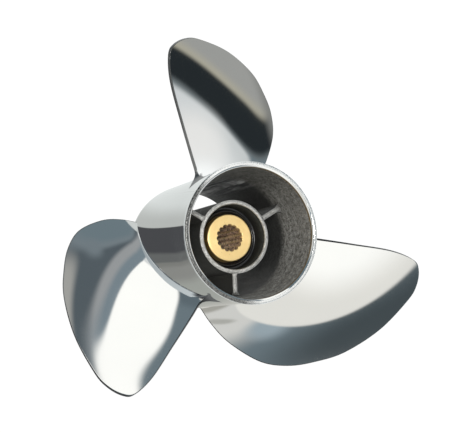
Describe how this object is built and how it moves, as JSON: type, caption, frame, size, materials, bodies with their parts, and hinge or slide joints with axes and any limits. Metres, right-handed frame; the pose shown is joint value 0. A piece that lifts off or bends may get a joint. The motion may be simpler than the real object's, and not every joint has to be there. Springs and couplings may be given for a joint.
{
  "type": "outboard motor propeller",
  "caption": "Polished stainless steel boat propeller with raked blades on a hollow exhaust barrel, and a rubber-bushed, splined brass sleeve for the shaft.",
  "frame": {"origin": "on the shaft axis at the part's centre of volume, 71.3 mm aft of the forward rim", "axes": "+Z along the shaft axis towards the stern, +Y through the tip of blade_1, forward rim down"},
  "size_m": [0.3163, 0.307, 0.1554],
  "materials": {
    "polished_steel": "polished stainless steel with fine buffing lines",
    "cast_steel": "as-cast stainless steel, ground on its aft faces",
    "brass": "machined, dull",
    "rubber": "moulded black rubber"
  },
  "bodies": {
    "root": {"exhaust_barrel": "polished_steel", "inner_hub": "cast_steel", "rib_1": "cast_steel", "rib_2": "cast_steel", "rib_3": "cast_steel", "blade_1": "polished_steel", "blade_2": "polished_steel", "blade_3": "polished_steel", "rubber_bush": "rubber", "splined_sleeve": "brass"}
  },
  "joints": []
}
